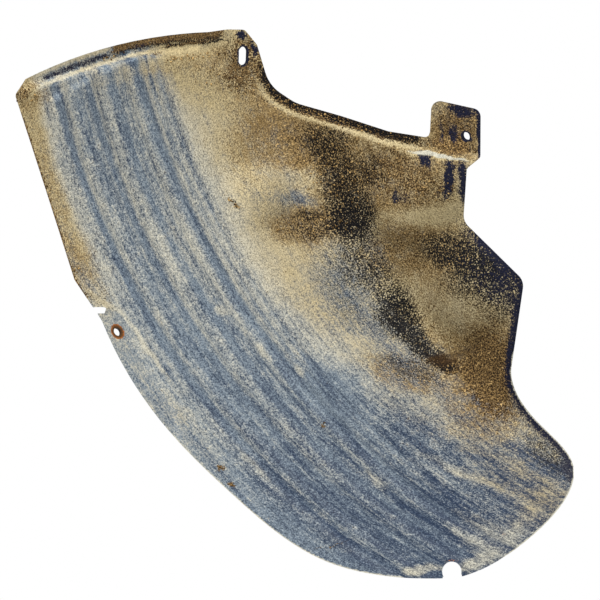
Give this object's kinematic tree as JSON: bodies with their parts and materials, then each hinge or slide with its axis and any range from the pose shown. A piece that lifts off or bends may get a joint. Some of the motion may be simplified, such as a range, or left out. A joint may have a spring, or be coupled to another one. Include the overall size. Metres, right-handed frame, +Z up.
{
  "type": "wheel arch liner",
  "caption": "Moulded wheel arch liner: a ribbed band curving round the tyre, turned up into an inboard wall, with a stepped flange, screw holes and a slotted ear.",
  "frame": {"origin": "middle of the bolt hole in the upper tab", "axes": "+Z up to the flanged edge, as the liner hangs in the picture; +X towards the inboard wall; -Y out of the hollow, towards the wheel, which is also the way the sheet leaves its mould"},
  "size_m": [0.4452, 0.2285, 0.4386],
  "materials": {
    "liner_plastic": "black moulded plastic, matt, under dried tan mud and road dust"
  },
  "bodies": {
    "root": {"arch_liner": "liner_plastic"}
  },
  "joints": []
}
